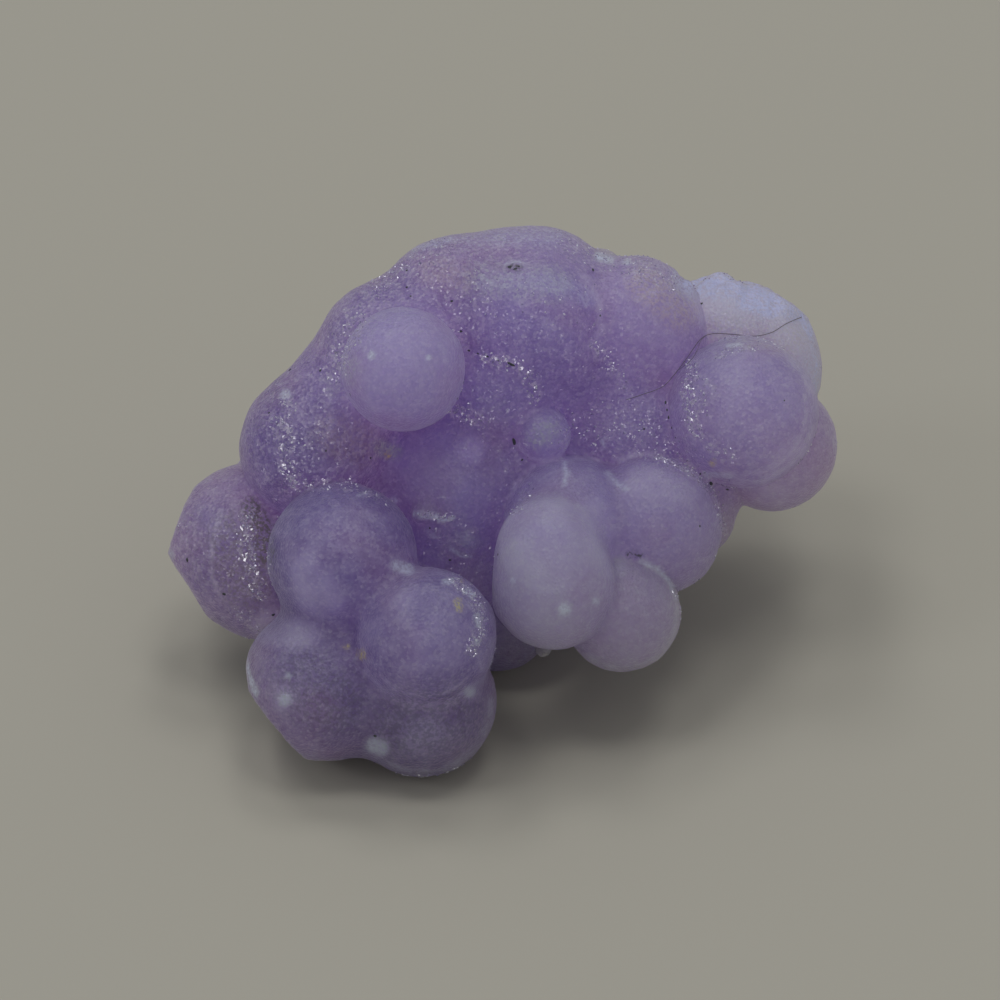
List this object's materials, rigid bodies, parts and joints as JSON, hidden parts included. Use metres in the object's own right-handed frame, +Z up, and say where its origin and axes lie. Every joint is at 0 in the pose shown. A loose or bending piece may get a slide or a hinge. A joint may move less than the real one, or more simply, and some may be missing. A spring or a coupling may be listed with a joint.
{
  "type": "botryoidal chalcedony specimen",
  "caption": "Free-standing mineral specimen: purple chalcedony grown as balls fused into a grape-like cluster, broken flat underneath where it rests.",
  "frame": {"origin": "centre of the bounding box at its bottom, on the surface the specimen rests on", "axes": "+Z up as it rests; +X along the specimen's length, towards the end with the pale frosted cap; -Y towards the side with the two hanging bunches, which the picture shows"},
  "size_m": [0.0269, 0.02, 0.0166],
  "materials": {
    "purple_chalcedony": "satin, naturally frosted with fine quartz, slightly translucent"
  },
  "bodies": {
    "root": {"chalcedony_cluster": "purple_chalcedony"}
  },
  "joints": []
}
